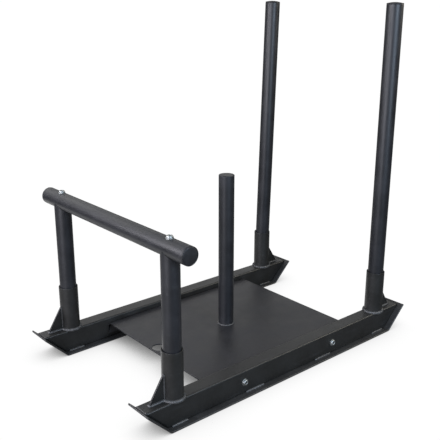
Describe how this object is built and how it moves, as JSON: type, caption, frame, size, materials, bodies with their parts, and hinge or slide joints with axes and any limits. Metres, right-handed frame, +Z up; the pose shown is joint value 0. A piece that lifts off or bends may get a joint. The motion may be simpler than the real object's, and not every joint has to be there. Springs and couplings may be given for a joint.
{
  "type": "weight sled",
  "caption": "Push and pull weight sled with two skid runners, a deck with a load post, lift-out push poles and a lift-out low handle.",
  "frame": {"origin": "on the floor under the middle of the sled, below the load post", "axes": "+X forward, towards the low handle; +Y to the left; +Z up"},
  "size_m": [1.018, 0.682, 1.0193],
  "materials": {
    "frame_coat": "satin black powder coat",
    "tube_coat": "satin black powder coat",
    "cap_plastic": "matte black moulded plastic",
    "zinc": "zinc plated"
  },
  "bodies": {
    "sled": {"box_tubes": "frame_coat", "skids": "frame_coat", "sockets": "frame_coat", "deck": "frame_coat", "side_bolts": "zinc", "load_post": "tube_coat"},
    "push_pole_left": {"pole_left": "tube_coat", "pole_cap_left": "cap_plastic"},
    "push_pole_right": {"pole_right": "tube_coat", "pole_cap_right": "cap_plastic"},
    "low_handle": {"handle_bar": "tube_coat", "handle_uprights": "tube_coat", "handle_caps": "cap_plastic", "handle_bolts": "zinc"}
  },
  "joints": [
    {"name": "pole_left_lift", "type": "slide", "parent": "sled", "child": "push_pole_left", "axis": [0, 0, 1], "range_m": [0, 0.18]},
    {"name": "pole_right_lift", "type": "slide", "parent": "sled", "child": "push_pole_right", "axis": [0, 0, 1], "range_m": [0, 0.18]},
    {"name": "handle_lift", "type": "slide", "parent": "sled", "child": "low_handle", "axis": [0, 0, 1], "range_m": [0, 0.18]}
  ]
}
